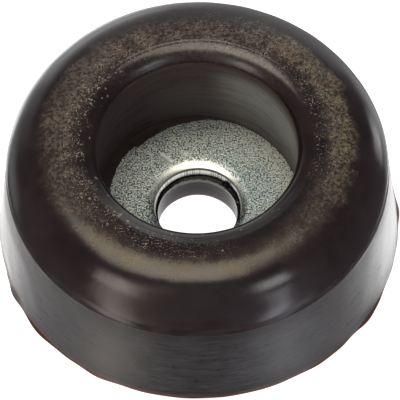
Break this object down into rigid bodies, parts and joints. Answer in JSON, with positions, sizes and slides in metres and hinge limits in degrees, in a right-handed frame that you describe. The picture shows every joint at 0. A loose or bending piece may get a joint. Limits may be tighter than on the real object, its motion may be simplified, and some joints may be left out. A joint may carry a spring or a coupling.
{
  "type": "rubber foot",
  "caption": "Round rubber foot with a tapered wall, a rounded crown, a screw recess and a steel washer moulded in.",
  "frame": {"origin": "centre of the wide flat mounting face, on the screw axis", "axes": "+Z along the screw axis, from the mounting face towards the rounded crown and the recess mouth; the part is round, so X and Y are any two directions square to it"},
  "size_m": [0.025, 0.025, 0.01],
  "materials": {
    "black_rubber": "satin moulded black rubber with a tan bloom on the crown",
    "zinc_steel": "zinc-plated, fine grained"
  },
  "bodies": {
    "root": {"rubber_body": "black_rubber", "steel_washer": "zinc_steel"}
  },
  "joints": []
}
